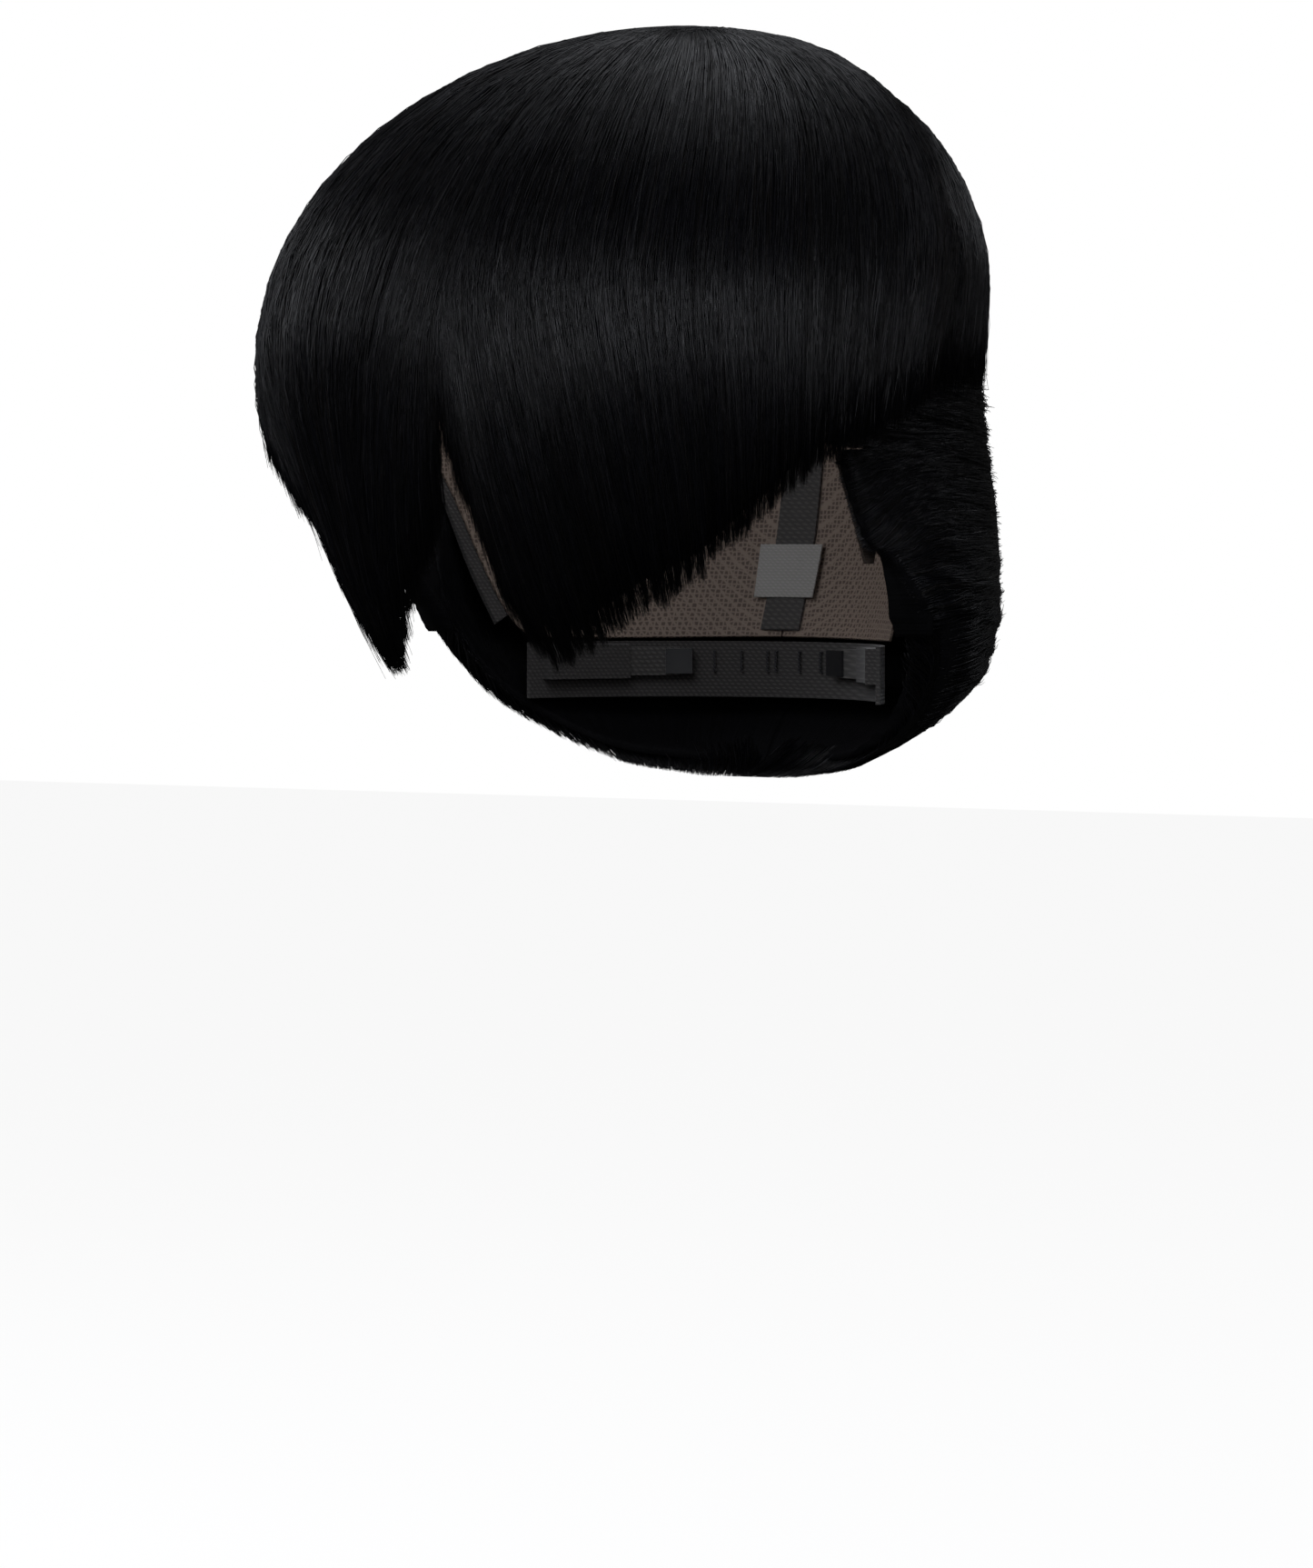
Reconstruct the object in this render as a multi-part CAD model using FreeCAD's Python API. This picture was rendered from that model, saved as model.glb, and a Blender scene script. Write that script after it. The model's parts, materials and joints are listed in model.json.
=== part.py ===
import FreeCAD, Part

import math
import os

# Short costume wig on its open cap. Millimetres. +X is the wearer's left, -Y the face, +Z up.
# The origin is the middle of the head opening, level with the eyes and in the plane of the ears.

# Head that the cap is cut for: half width, reach to front and back, and height of the crown
HEAD_HALF_WIDTH = 75.0
HEAD_FRONT = 92.0
HEAD_BACK = 94.0
HEAD_TOP = 114.0
HEAD_LEVEL_FRONT = 30.0
HEAD_LEVEL_BACK = 40.0
HEAD_DEPTH_BELOW = 130.0
HEAD_POLE_Y = 16.0

# Outside of the long top layer, which hangs from the whorl like a bowl
BOWL_HALF_WIDTH = 91.0
BOWL_FRONT = 105.0
BOWL_BACK = 108.0
BOWL_TOP = 131.0
BOWL_LEVEL_FRONT = 38.0
BOWL_LEVEL_BACK = 46.0
BOWL_DEPTH_BELOW = 126.0
BOWL_POLE_Y = 24.0
BOWL_RIM_Z = 40.0
WHORL_ANGLE = math.radians(6.0)
RIDGE_AT_WHORL = math.radians(26.0)
RIDGE_AT_RIM = math.radians(2.0)
RIDGE_STEP = 2.5
RIDGE_STEP_SPREAD = 1.0 / 3.0
HAIR_AT_CROWN = 12.0
HAIR_AT_RIM = 6.0
HAIR_AT_CUT = 2.4
HAIR_THICKENS_Z = (50.0, 100.0)
HAIR_TAPER_HEIGHT = 25.0
WHORL_GAP = 0.008
SEAM = 0.0025

# Cut line of the fringe on each side, as angle from the wearer's left and height; the notch is at -90
FRINGE_CUT_LEFT = ((-90, 19), (-85, 0), (-81, -20), (-77.5, -32), (-74, -36), (-69, -33.5), (-61, -25),
                   (-51, -16), (-46, -8), (-39, 2), (-32, 13), (-19, 23), (3, 36), (26, BOWL_RIM_Z))
FRINGE_CUT_RIGHT = ((-90, 19), (-88.5, 0), (-85, -13), (-80, -23), (-75.5, -31), (-71, -38), (-67, -41),
                    (-64, -36), (-62.5, -20), (-60.5, -8), (-56, 0), (-48, 8), (-38, 17), (-19, 25),
                    (3, 36), (26, BOWL_RIM_Z))

# Short under layer, swept back over the ears and in at the nape
UNDER_HALF_WIDTH = 86.0
UNDER_BACK = 105.0
UNDER_PLAN_POWER = 2.4
UNDER_WIDEST_Z = -15.0
UNDER_DEPTH_BELOW = 62.7
UNDER_SHIFT_BACK = 16.0
UNDER_TOP_Z = 44.0
UNDER_TOP_SCALE = 0.95
UNDER_THICKNESS = 10.0
UNDER_AT_CUT = 3.0
SWEEP_START = math.radians(-21.0)
SWEEP_END = math.radians(22.0)
UNDER_CUT = ((0, -20), (8, -24), (14, -36), (20, -50), (32, -61), (46, -68), (66, -71), (90, -73))
SIDE_END = math.radians(50.0)
SIDE_FRONT_Y = 14.0
SIDE_FRONT_CUT_Z = -38.0
UNDER_START_OFFSET = 2.6
ARCH_BOTTOM_Z = 18.8
ARCH_GAP = 0.2
ARCH_MIN_THICKNESS = 1.4

# Cap: net, edge bands, wefts and ribbons, as distances out from the head
NET_LAYER = (0.0, 0.6)
BAND_LAYER = (0.8, 2.0)
WEFT_LAYER = (1.0, 2.6)
RIBBON_LAYER = (-2.0, -1.1)
LABEL_LAYER = (-2.9, -2.4)
PATCH_LAYER = (0.9, 1.7)
HAIR_CLEARANCE = 3.2
NET_EDGE = ((-90, 62), (-60, 55), (-40, 38), (-26, 20), (-4, 19), (6, 19), (14, 10), (20, -8), (28, -30),
            (40, -33), (90, -33))
FRONT_BAND_PATH = ((-90, 69), (-60, 62), (-42, 46), (-26, 30))
FRONT_BAND_WIDTH = 13.0
EAR_BAND_PATH = ((-22, 22.4), (-10, 22.4), (2, 22.4), (10, 19), (16, 6), (21, -12), (26, -27))
EAR_BAND_WIDTH = 8.0
WEFT_ROWS = ((-24, 36), (-9, 31), (6, 27), (24, 14), (40, -24), (56, -40), (71, -58))
WEFT_WIDTH = 4.0
RIBBON_WIDTH = 12.0
RIBBON_SIDE_Z = 25.0
RIBBON_GAP = 0.4
PATCH_ANGLE = math.radians(27.0)
PATCH_LAP = 0.06
LABEL_SIZE = (22.0, 15.0)
LABEL_Z = -16.0

# Nape band and its two adjusters, all round one upright axis
NAPE_Y = 17.0
NAPE_RADIUS = 56.0
NAPE_Z = (-50.0, -34.5)
NAPE_START = 15.0
NAPE_THICKNESS = 1.2
STRAP_Z = (-44.0, -36.0)
STRAP_DEPTH = (2.1, 2.9)
STRAP_TAIL = 22.5
CASING_RANGE = (20.0, 47.0)
CASING_WALL = 0.4
CASING_END_WALL = 1.0
CASING_CLEARANCE = 0.4
LOOP_FIRST = 62.0
LOOP_SPACING = 8.0
LOOP_COUNT = 4
LOOP_HEIGHT = 1.2
LOOP_THREAD = 0.6
LOOP_SPAN = 6.0
HOOK_REACH = 4.0
HOOK_PLATE = 0.8
HOOK_GAP = 0.1
HOOK_BRIDGE = 0.9
HOOK_MOUTH = 0.4
HOOK_INSET = 0.5
HOOK_TIP_INSET = 2.5
HOOK_TIP_DEPTH = (1.5, 2.0)

# Ear tabs, which swing on a fold along their top edge
TAB_AXIS_X = 73.0
TAB_AXIS_Z = 18.2
TAB_TOP_Z = 17.6
TAB_LAYER = (0.0, 0.8)
TAB_FRONT_Y = -27.0
TAB_BACK_Y = -3.0
TAB_TIP_Y = (-5.5, -1.0)
TAB_TIP_Z = -12.0
TAB_FRONT_CURVE = 1.25
TAB_SWING = math.radians(17.0)
STAY_LAYER = (-0.8, -0.2)
STAY_WIDTH = 3.0
STAY_Y = (-11.0, -4.5)
STAY_Z = (-9.0, 14.0)
LOCK_BACK_Y = 13.6
LOCK_DEPTH = (1.4, 6.0)
LOCK_SWELL_LENGTH = 30.0
LOCK_BOTTOM_THICKNESS = 0.55
LOCK_CLEARANCE = (1.1, 2.7)
LOCK_CLEARANCE_LENGTH = 8.0
LOCK_CUT = ((-27, 13), (-21, 3), (-14, -7), (-3, -12), (6, -22), (13.6, -34))


def between(low, high, t):
    return low + (high - low) * t


def ease(t):
    """Smooth step from 0 to 1."""
    t = min(max(t, 0.0), 1.0)
    return t * t * (3.0 - 2.0 * t)


def follow(outline, x):
    """Height of an outline at x, smooth through its points."""
    if x <= outline[0][0]:
        return outline[0][1]
    if x >= outline[-1][0]:
        return outline[-1][1]
    index = max(i for i, point in enumerate(outline) if point[0] <= x)

    def slope(i):
        first, last = max(i - 1, 0), min(i + 1, len(outline) - 1)
        return (outline[last][1] - outline[first][1]) / (outline[last][0] - outline[first][0])

    (x0, y0), (x1, y1) = outline[index], outline[index + 1]
    span = x1 - x0
    t = (x - x0) / span
    rise = 3 * t * t - 2 * t ** 3
    return (y0 + (y1 - y0) * rise + span * slope(index) * (t ** 3 - 2 * t * t + t)
            + span * slope(index + 1) * (t ** 3 - t * t))


class Dome:
    """A head-like dome whose meridians run down from a pole set back from the middle."""

    def __init__(self, half_width, front, back, top, level_front, level_back, below, pole_y):
        self.half_width = half_width
        self.front = front
        self.back = back
        self.top = top
        self.level_front = level_front
        self.level_back = level_back
        self.below = below
        self.pole_y = pole_y

    def level(self, phi):
        """Height at which the dome is widest, in the direction phi."""
        return between(self.level_front, self.level_back, 0.5 * (1 + math.sin(phi)))

    def power(self, phi):
        return between(2.0, 2.3, 0.5 * (1 + math.sin(phi)))

    def plan(self, phi, offset):
        """Radius of the widest outline in the direction phi."""
        reach, power = (self.front, 2.4) if math.sin(phi) < 0 else (self.back, 1.98)
        across = abs(math.cos(phi)) / (self.half_width + offset)
        along = abs(math.sin(phi)) / (reach + offset)
        return (across ** power + along ** power) ** (-1 / power)

    def beta_at(self, phi, z):
        """Angle down from the pole at which the meridian phi reaches the height z."""
        level = self.level(phi)
        if z > level:
            power = self.power(phi)
            rise = (z - level) / (self.top - level)
            return math.atan2((1 - rise ** power) ** (1 / power), rise)
        drop = (level - z) / self.below
        return math.atan2(math.sqrt(1 - drop * drop), -drop)

    def point(self, phi, beta, offset=0.0):
        level, power = self.level(phi), self.power(phi)
        height = self.top + offset - level
        if math.cos(beta) < 0:
            power, height = 2.0, self.below + offset
        sine, cosine = abs(math.sin(beta)), abs(math.cos(beta))
        scale = (sine ** power + cosine ** power) ** (-1 / power)
        radius = self.plan(phi, offset) * scale * sine
        centre_y = self.pole_y * (math.cos(beta) ** 2 if math.cos(beta) > 0 else 0.0)
        z = level + height * scale * math.cos(beta)
        return FreeCAD.Vector(radius * math.cos(phi), centre_y + radius * math.sin(phi), z)

    def radius(self, phi, z, offset=0.0):
        """Distance from the upright axis at a height."""
        point = self.point(phi, self.beta_at(phi, z), offset)
        return math.hypot(point.x, point.y)


HEAD = Dome(HEAD_HALF_WIDTH, HEAD_FRONT, HEAD_BACK, HEAD_TOP, HEAD_LEVEL_FRONT, HEAD_LEVEL_BACK,
            HEAD_DEPTH_BELOW, HEAD_POLE_Y)
BOWL = Dome(BOWL_HALF_WIDTH, BOWL_FRONT, BOWL_BACK, BOWL_TOP, BOWL_LEVEL_FRONT, BOWL_LEVEL_BACK,
            BOWL_DEPTH_BELOW, BOWL_POLE_Y)


# ---------------------------------------------------------------- solids from grids of points

def knot_layout(count, degree):
    """Knots and multiplicities of a clamped even spline with this many poles."""
    inner = count - degree - 1
    return [float(i) for i in range(inner + 2)], [degree + 1] + [1] * inner + [degree + 1]


def spline_face(grid, degree_u=3, degree_v=3):
    knots_u, mults_u = knot_layout(len(grid), degree_u)
    knots_v, mults_v = knot_layout(len(grid[0]), degree_v)
    surface = Part.BSplineSurface()
    surface.buildFromPolesMultsKnots(grid, mults_u, mults_v, knots_u, knots_v, False, False,
                                     degree_u, degree_v)
    return surface.toShape()


def shell_solid(point, columns, rows):
    """Closed solid between point(u, v, 0) and point(u, v, 1), for u and v from 0 to 1."""
    grids = []
    for side in (0, 1):
        grids.append([[point(c / (columns - 1), r / (rows - 1), side) for r in range(rows)]
                      for c in range(columns)])
    inner, outer = grids
    faces = [spline_face(inner), spline_face(outer)]
    for column in (0, -1):
        faces.append(spline_face([inner[column], outer[column]], degree_u=1))
    for row in (0, -1):
        edge_low = [line[row] for line in inner]
        edge_high = [line[row] for line in outer]
        faces.append(spline_face([edge_low, edge_high], degree_u=1))
    shell = Part.Shell(faces)
    shell.sewShape()
    solid = Part.Solid(shell)
    if solid.Volume < 0:
        solid.reverse()
    return solid


def ring_piece(depth, angles, heights):
    """Strip round the nape axis: depths inside the nape band, angles in degrees, heights."""
    near, far = NAPE_RADIUS - depth[1], NAPE_RADIUS - depth[0]
    corners = [FreeCAD.Vector(near, NAPE_Y, heights[0]), FreeCAD.Vector(far, NAPE_Y, heights[0]),
               FreeCAD.Vector(far, NAPE_Y, heights[1]), FreeCAD.Vector(near, NAPE_Y, heights[1])]
    face = Part.Face(Part.makePolygon(corners + corners[:1]))
    centre, up = FreeCAD.Vector(0, NAPE_Y, 0), FreeCAD.Vector(0, 0, 1)
    face.rotate(centre, up, angles[0])
    return face.revolve(centre, up, angles[1] - angles[0])


def nape_degrees(length):
    """Angle round the nape axis that an arc of this length takes."""
    return math.degrees(length / NAPE_RADIUS)


def mirrored(shape):
    return shape.mirror(FreeCAD.Vector(0, 0, 0), FreeCAD.Vector(1, 0, 0))


# ---------------------------------------------------------------- cap

def strip_on_head(path, width, layer, columns):
    """Strip of even width along a path of (degrees, height) on the head."""
    first, last = path[0][0], path[-1][0]

    def centre(u):
        degrees = between(first, last, u)
        return degrees, follow(path, degrees)

    def point(u, v, side):
        step = 0.01
        here = centre(u)
        before, after = centre(max(u - step, 0.0)), centre(min(u + step, 1.0))
        run = math.radians(after[0] - before[0]) * HEAD_HALF_WIDTH
        rise = after[1] - before[1]
        length = math.hypot(run, rise)
        shift = width * (0.5 - v)
        degrees = here[0] - math.degrees(shift * rise / length / HEAD_HALF_WIDTH)
        z = here[1] + shift * run / length
        phi = math.radians(degrees)
        return HEAD.point(phi, HEAD.beta_at(phi, z), layer[side])

    return shell_solid(point, columns, 4)


def net_half():
    """One half of the stretch net, from the crown patch down to the edge bands."""
    def point(u, v, side):
        degrees = between(-89.8, 89.8, u)
        phi = math.radians(degrees)
        edge = HEAD.beta_at(phi, follow(NET_EDGE, degrees))
        return HEAD.point(phi, between(PATCH_ANGLE - PATCH_LAP, edge, v), NET_LAYER[side])

    return shell_solid(point, 37, 17)


def disc(dome, angle, layer):
    """Dished disc that caps the dome down to an angle from its pole."""
    def point(u, v, side):
        across, along = 2 * u - 1, 2 * v - 1
        x = across * math.sqrt(1 - along * along / 2)
        y = along * math.sqrt(1 - across * across / 2)
        return dome.point(math.atan2(y, x), angle * math.hypot(x, y), layer[side])

    return shell_solid(point, 11, 11)


def weft(z, start):
    path = ((start, z), (180 - start, z))
    return strip_on_head(path, WEFT_WIDTH, WEFT_LAYER, 41)


def centre_ribbon():
    """Elastic ribbon inside the net from the front band over the crown to the nape band."""
    front = -HEAD.beta_at(-math.pi / 2, follow(NET_EDGE, -90) + 2)
    back = HEAD.beta_at(math.pi / 2, follow(NET_EDGE, 90) + 1)

    def point(u, v, side):
        beta = between(front, back, u)
        phi = math.copysign(math.pi / 2, beta)
        return HEAD.point(phi, abs(beta), RIBBON_LAYER[side]) + FreeCAD.Vector(
            RIBBON_WIDTH * (v - 0.5), 0, 0)

    return shell_solid(point, 45, 4)


def cross_ribbon():
    """Half of the ribbon that runs from ear to ear under the crown."""
    start = math.asin((RIBBON_WIDTH / 2 + RIBBON_GAP) / HEAD_HALF_WIDTH)
    end = HEAD.beta_at(0.0, RIBBON_SIDE_Z)

    def point(u, v, side):
        return HEAD.point(0.0, between(start, end, u), RIBBON_LAYER[side]) + FreeCAD.Vector(
            0, RIBBON_WIDTH * (v - 0.5), 0)

    return shell_solid(point, 25, 4)


def size_label():
    """Blank label sewn over the back end of the centre ribbon."""
    half = math.degrees(LABEL_SIZE[0] / 2 / HEAD_BACK)
    path = ((90 - half, LABEL_Z), (90 + half, LABEL_Z))
    return strip_on_head(path, LABEL_SIZE[1], LABEL_LAYER, 6)


# ---------------------------------------------------------------- nape band and adjusters

def nape_band():
    return ring_piece((-NAPE_THICKNESS, 0.0), (NAPE_START, 180 - NAPE_START), NAPE_Z)


def adjuster_casing():
    """Flat sleeve on the band that the strap's outer end lies in."""
    depth = (STRAP_DEPTH[0] - CASING_CLEARANCE, STRAP_DEPTH[1] + CASING_CLEARANCE)
    low, high = STRAP_Z[0] - CASING_CLEARANCE, STRAP_Z[1] + CASING_CLEARANCE
    body = ring_piece((0.0, depth[1] + CASING_WALL), CASING_RANGE, (low - CASING_WALL, high + CASING_WALL))
    open_end = (CASING_RANGE[0] + CASING_END_WALL, CASING_RANGE[1] + CASING_END_WALL)
    hollow = ring_piece(depth, open_end, (low, high))
    return body.cut(hollow)


def adjuster_strap():
    return ring_piece(STRAP_DEPTH, (STRAP_TAIL, LOOP_FIRST), STRAP_Z)


def adjuster_hook():
    """Flat hook stitched to the strap's end, its tip turned back over the loops."""
    plate_depth = (STRAP_DEPTH[1] + HOOK_GAP, STRAP_DEPTH[1] + HOOK_GAP + HOOK_PLATE)
    end = LOOP_FIRST + nape_degrees(HOOK_REACH)
    height = (STRAP_Z[0] + HOOK_INSET, STRAP_Z[1] - HOOK_INSET)
    plate = ring_piece(plate_depth, (LOOP_FIRST - nape_degrees(HOOK_REACH), end), height)
    bridge = ring_piece((HOOK_TIP_DEPTH[0], plate_depth[1]), (end - nape_degrees(HOOK_BRIDGE), end), height)
    tip_height = (STRAP_Z[0] + HOOK_TIP_INSET, STRAP_Z[1] - HOOK_TIP_INSET)
    tip = ring_piece(HOOK_TIP_DEPTH, (LOOP_FIRST + nape_degrees(HOOK_MOUTH), end), tip_height)
    return plate.fuse([bridge, tip]).removeSplitter()


def adjuster_loops():
    """Row of thread loops on the band, each one standing off it like a staple."""
    middle = (STRAP_Z[0] + STRAP_Z[1]) / 2
    low, high = middle - LOOP_SPAN / 2, middle + LOOP_SPAN / 2
    half = nape_degrees(LOOP_THREAD / 2)
    loops = []
    for index in range(LOOP_COUNT):
        angle = LOOP_FIRST + nape_degrees(HOOK_REACH / 2 + LOOP_SPACING * index)
        angles = (angle - half, angle + half)
        bar = ring_piece((LOOP_HEIGHT - LOOP_THREAD, LOOP_HEIGHT), angles, (low, high))
        feet = [ring_piece((0.0, LOOP_HEIGHT), angles, (low, low + LOOP_THREAD)),
                ring_piece((0.0, LOOP_HEIGHT), angles, (high - LOOP_THREAD, high))]
        loops.append(bar.fuse(feet).removeSplitter())
    return Part.makeCompound(loops)


# ---------------------------------------------------------------- top layer of hair

def hair_depth(z, cut_z):
    """Thickness of the top layer at a height, thinning towards the cut ends."""
    low, high = HAIR_THICKENS_Z
    depth = between(HAIR_AT_RIM, HAIR_AT_CROWN, ease((z - low) / (high - low)))
    return between(HAIR_AT_CUT, depth, ease((z - cut_z) / HAIR_TAPER_HEIGHT))


def ridge_angle(beta):
    """Direction of the ridge that ends the fringe sector, at an angle down from the whorl."""
    return between(RIDGE_AT_WHORL, RIDGE_AT_RIM, (beta - WHORL_ANGLE) / (math.pi / 2 - WHORL_ANGLE))


def top_layer_place(u, v, sector, cut):
    """Direction and angle down from the whorl at u, v in a sector that the ridge bounds."""
    beta = between(WHORL_ANGLE, math.pi / 2, v)
    for _ in range(8):
        first, last = sector(beta)
        phi = between(first, last, u)
        beta = between(WHORL_ANGLE, BOWL.beta_at(phi, cut(phi)), v)
    return phi, beta


def fringe(cut):
    """Front and side sector of the top layer, from the centre crease to the ridge above the ear."""
    def cut_height(phi):
        return follow(cut, math.degrees(phi))

    def point(u, v, side):
        phi, beta = top_layer_place(u, v, lambda b: (-math.pi / 2 + SEAM, ridge_angle(b) - SEAM), cut_height)
        outer = BOWL.point(phi, beta)
        return outer if side else BOWL.point(phi, beta, -hair_depth(outer.z, cut_height(phi)))

    return shell_solid(point, 49, 21)


def crown_back():
    """Back sector of the top layer, a step lower than the fringe at the ridge."""
    def point(u, v, side):
        phi, beta = top_layer_place(u, v, lambda b: (ridge_angle(b) + SEAM, math.pi / 2 - SEAM),
                                    lambda _: BOWL_RIM_Z)
        step = RIDGE_STEP * ease(v / RIDGE_STEP_SPREAD) * (1 - ease(u / RIDGE_STEP_SPREAD))
        outer = BOWL.point(phi, beta, -step)
        return outer if side else BOWL.point(phi, beta, -step - hair_depth(outer.z, BOWL_RIM_Z))

    return shell_solid(point, 21, 19)


# ---------------------------------------------------------------- under layer of hair

def under_scale(z):
    if z > UNDER_WIDEST_Z:
        return between(1.0, UNDER_TOP_SCALE, ease((z - UNDER_WIDEST_Z) / (UNDER_TOP_Z - UNDER_WIDEST_Z)))
    drop = (UNDER_WIDEST_Z - z) / UNDER_DEPTH_BELOW
    return math.sqrt(1 - drop * drop)


def under_centre(z):
    """Set-back of the under layer's middle, which grows down the neck."""
    return UNDER_SHIFT_BACK * max(UNDER_WIDEST_Z - z, 0.0) / UNDER_DEPTH_BELOW


def under_radius(phi, z):
    """Outside of the under layer, which lies on the head in front of the ear and stands off behind."""
    across = abs(math.cos(phi)) / UNDER_HALF_WIDTH
    along = abs(math.sin(phi)) / UNDER_BACK
    full = (across ** UNDER_PLAN_POWER + along ** UNDER_PLAN_POWER) ** (-1 / UNDER_PLAN_POWER)
    close = HEAD.radius(phi, z, UNDER_START_OFFSET)
    sweep = ease((phi - SWEEP_START) / (SWEEP_END - SWEEP_START))
    return between(close, full * under_scale(z), sweep)


def under_place(phi, radius, z):
    return FreeCAD.Vector(radius * math.cos(phi), under_centre(z) + radius * math.sin(phi), z)


def under_point(phi, z, side, cut_z):
    """Point on the under layer's outside, or on its inside, which thins towards the cut."""
    outside = under_radius(phi, z)
    if side:
        return under_place(phi, outside, z)
    depth = between(UNDER_AT_CUT, UNDER_THICKNESS, ease((z - cut_z) / HAIR_TAPER_HEIGHT))
    return under_place(phi, max(HEAD.radius(phi, z, HAIR_CLEARANCE), outside - depth), z)


def angle_at_y(y, z, side, cut_z):
    """Direction in which the under layer's surface crosses the plane at y."""
    phi = 0.0
    for _ in range(12):
        point = under_point(phi, z, side, cut_z)
        radius = math.hypot(point.x, point.y - under_centre(z))
        phi = math.asin((y - under_centre(z)) / radius)
    return phi


def side_hair():
    """Hair behind the ear, from the flat joint with the ear lock round to the nape."""
    def point(u, v, side):
        start = angle_at_y(SIDE_FRONT_Y, 0.0, 1, SIDE_FRONT_CUT_Z)
        cut_z = follow(UNDER_CUT, math.degrees(between(start, SIDE_END, u)))
        z = between(UNDER_TOP_Z, cut_z, v)
        first = angle_at_y(SIDE_FRONT_Y, z, side, cut_z)
        return under_point(between(first, SIDE_END - SEAM, u), z, side, cut_z)

    return shell_solid(point, 15, 19)


def nape_hair():
    """Half of the hair at the back of the neck."""
    def point(u, v, side):
        phi = between(SIDE_END + SEAM, math.pi / 2 - SEAM, u)
        cut_z = follow(UNDER_CUT, math.degrees(phi))
        z = between(UNDER_TOP_Z, cut_z, v)
        return under_point(phi, z, side, cut_z)

    return shell_solid(point, 13, 21)


def ear_arch_hair():
    """Hair over the ear that stays on the cap, above the fold of the ear tab."""
    def point(u, v, side):
        z = between(UNDER_TOP_Z, ARCH_BOTTOM_Z, v)
        last = angle_at_y(SIDE_FRONT_Y - ARCH_GAP, z, side, SIDE_FRONT_CUT_Z)
        phi = between(SWEEP_START, last, u)
        outside = max(under_radius(phi, z), HEAD.radius(phi, z, HAIR_CLEARANCE + ARCH_MIN_THICKNESS))
        if side:
            return FreeCAD.Vector(outside * math.cos(phi), outside * math.sin(phi), z)
        inside = max(HEAD.radius(phi, z, HAIR_CLEARANCE), outside - UNDER_THICKNESS)
        return FreeCAD.Vector(inside * math.cos(phi), inside * math.sin(phi), z)

    return shell_solid(point, 13, 8)


# ---------------------------------------------------------------- ear tabs

def head_side(y, z, offset):
    """Point on the side of the head at a given y and z."""
    phi = 0.0
    for _ in range(12):
        phi = math.asin(y / HEAD.radius(phi, z, offset))
    radius = HEAD.radius(phi, z, offset)
    return FreeCAD.Vector(radius * math.cos(phi), y, z)


def ear_tab():
    """Soft flap in front of the ear."""
    def point(u, v, side):
        z = between(TAB_TOP_Z, TAB_TIP_Z, v)
        front = between(TAB_FRONT_Y, TAB_TIP_Y[0], v ** TAB_FRONT_CURVE)
        back = between(TAB_BACK_Y, TAB_TIP_Y[1], v)
        return head_side(between(front, back, u), z, TAB_LAYER[side])

    return shell_solid(point, 7, 9)


def ear_stay():
    """Bendable strip sewn on the inside of the ear tab."""
    def point(u, v, side):
        z = between(STAY_Z[1], STAY_Z[0], v)
        middle = between(STAY_Y[0], STAY_Y[1], v)
        return head_side(middle + STAY_WIDTH * (u - 0.5), z, STAY_LAYER[side])

    return shell_solid(point, 4, 9)


def temple_hair():
    """Lock rooted on the ear tab and swept back over the ear; it moves with the tab."""
    def x_at(y, z, side, v):
        phi = angle_at_y(y, z, 1, SIDE_FRONT_CUT_Z)
        outside = under_place(phi, under_radius(phi, z), z).x
        if side:
            return outside
        depth = between(*LOCK_DEPTH, ease((y - TAB_FRONT_Y) / LOCK_SWELL_LENGTH))
        depth *= between(1.0, LOCK_BOTTOM_THICKNESS, v)
        clear = between(*LOCK_CLEARANCE, ease((y - TAB_TIP_Y[0]) / LOCK_CLEARANCE_LENGTH))
        return max(outside - depth, head_side(y, z, clear).x)

    def point(u, v, side):
        y = between(TAB_FRONT_Y, LOCK_BACK_Y, u)
        top = TAB_TOP_Z - math.tan(TAB_SWING) * max(x_at(y, TAB_TOP_Z, side, 0.0) - TAB_AXIS_X, 0.0)
        z = between(top, follow(LOCK_CUT, y), v)
        return FreeCAD.Vector(x_at(y, z, side, v), y, z)

    return shell_solid(point, 15, 11)


def save(name, shape):
    shape.exportStep("parts/" + name + ".step")


def save_pair(name, shape):
    """A piece for the wearer's left and its mirror image for the right."""
    save(name + "_left", shape)
    save(name + "_right", mirrored(shape))


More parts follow.
